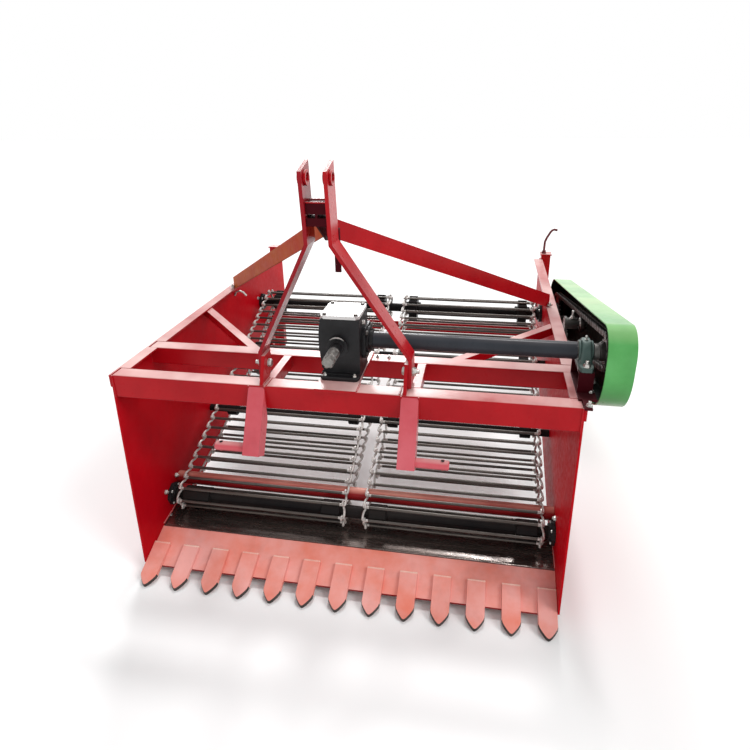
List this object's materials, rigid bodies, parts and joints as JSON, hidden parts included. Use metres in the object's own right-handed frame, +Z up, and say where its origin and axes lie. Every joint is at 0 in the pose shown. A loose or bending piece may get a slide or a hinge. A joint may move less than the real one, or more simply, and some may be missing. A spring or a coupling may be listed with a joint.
{
  "type": "tractor-mounted potato digger",
  "caption": "Tractor-mounted root crop digger: toothed blade, twin hooked-rod shaking webs, bent flat-bar mast, gearbox with chain drive to the web shaft, rear gauge wheels",
  "frame": {"origin": "on the ground under the middle of the machine's box: halfway between the blade tips and the rear of the wheels, on the centre plane", "axes": "+Z up, +Y toward the rear of the machine, where the crop is dropped, +X toward its right-hand side, which carries the chain guard; the tractor is ahead on -Y"},
  "size_m": [1.732, 1.875, 1.389],
  "materials": {
    "red_paint": "glossy red enamel, thin over weld seams and mill edges",
    "green_paint": "glossy green enamel on sheet steel",
    "black_cast": "black painted iron casting",
    "cover_steel": "pale machined cover plate",
    "bare_steel": "bare steel with brown mill scale, worn bright on edges",
    "tube_paint": "blue-grey to black paint on steel tube",
    "bearing_paint": "grey-green painted bearing housing",
    "dark_steel": "oiled dark steel",
    "tyre": "ribbed implement tyre rubber"
  },
  "bodies": {
    "frame": {"apron_plate": "bare_steel", "back_brace_left": "red_paint", "back_brace_right": "red_paint", "beam_stringers": "red_paint", "bearing_shelf": "red_paint", "blade_teeth": "red_paint", "carrier_rollers": "tube_paint", "chain_guard": "green_paint", "chain_tensioner": "dark_steel", "corner_braces": "red_paint", "digging_blade": "red_paint", "drive_chain": "dark_steel", "drive_sprocket": "dark_steel", "driven_sprocket": "dark_steel", "front_beam": "red_paint", "gearbox_base_plate": "red_paint", "gearbox_cover": "cover_steel", "gearbox_housing": "black_cast", "guard_studs": "dark_steel", "height_crank": "dark_steel", "hitch_pin_left": "red_paint", "hitch_pin_right": "red_paint", "hitch_post_left": "red_paint", "hitch_post_right": "red_paint", "mast_bar_left": "red_paint", "mast_bar_right": "red_paint", "mast_lugs": "red_paint", "mast_spacers": "red_paint", "nose_bearings": "black_cast", "nose_cross_tube": "red_paint", "nose_roller": "tube_paint", "output_bearing": "bearing_paint", "output_flange": "black_cast", "output_shaft": "bare_steel", "rear_post_left": "red_paint", "rear_post_right": "red_paint", "return_idler": "tube_paint", "second_beam": "red_paint", "shaft_tube": "tube_paint", "side_plate_left": "red_paint", "side_plate_right": "red_paint", "tail_cross_tube": "red_paint", "top_rail_left": "red_paint", "top_rail_right": "red_paint", "web_drive_bearings": "black_cast", "web_drive_shaft": "tube_paint", "web_left": "bare_steel", "web_right": "bare_steel"},
    "pto_shaft": {"pto_shaft": "bare_steel"},
    "wheel_leg_left": {"wheel_leg_left": "red_paint"},
    "wheel_leg_right": {"wheel_leg_right": "red_paint"},
    "wheel_left": {"wheel_rim_left": "red_paint", "tyre_left": "tyre"},
    "wheel_right": {"wheel_rim_right": "red_paint", "tyre_right": "tyre"}
  },
  "joints": [
    {"name": "pto_spin", "type": "hinge", "parent": "frame", "child": "pto_shaft", "pos_m": [0.006, -0.81498, 0.858], "axis": [0, -1, 0], "continuous": true},
    {"name": "leg_slide_left", "type": "slide", "parent": "frame", "child": "wheel_leg_left", "axis": [0, 0, -1], "range_m": [0, 0.15]},
    {"name": "leg_slide_right", "type": "slide", "parent": "frame", "child": "wheel_leg_right", "axis": [0, 0, -1], "range_m": [0, 0.15]},
    {"name": "wheel_spin_left", "type": "hinge", "parent": "wheel_leg_left", "child": "wheel_left", "pos_m": [-0.8135, 0.73252, 0.205], "axis": [1, 0, 0], "continuous": true},
    {"name": "wheel_spin_right", "type": "hinge", "parent": "wheel_leg_right", "child": "wheel_right", "pos_m": [0.8135, 0.73252, 0.205], "axis": [1, 0, 0], "continuous": true}
  ]
}
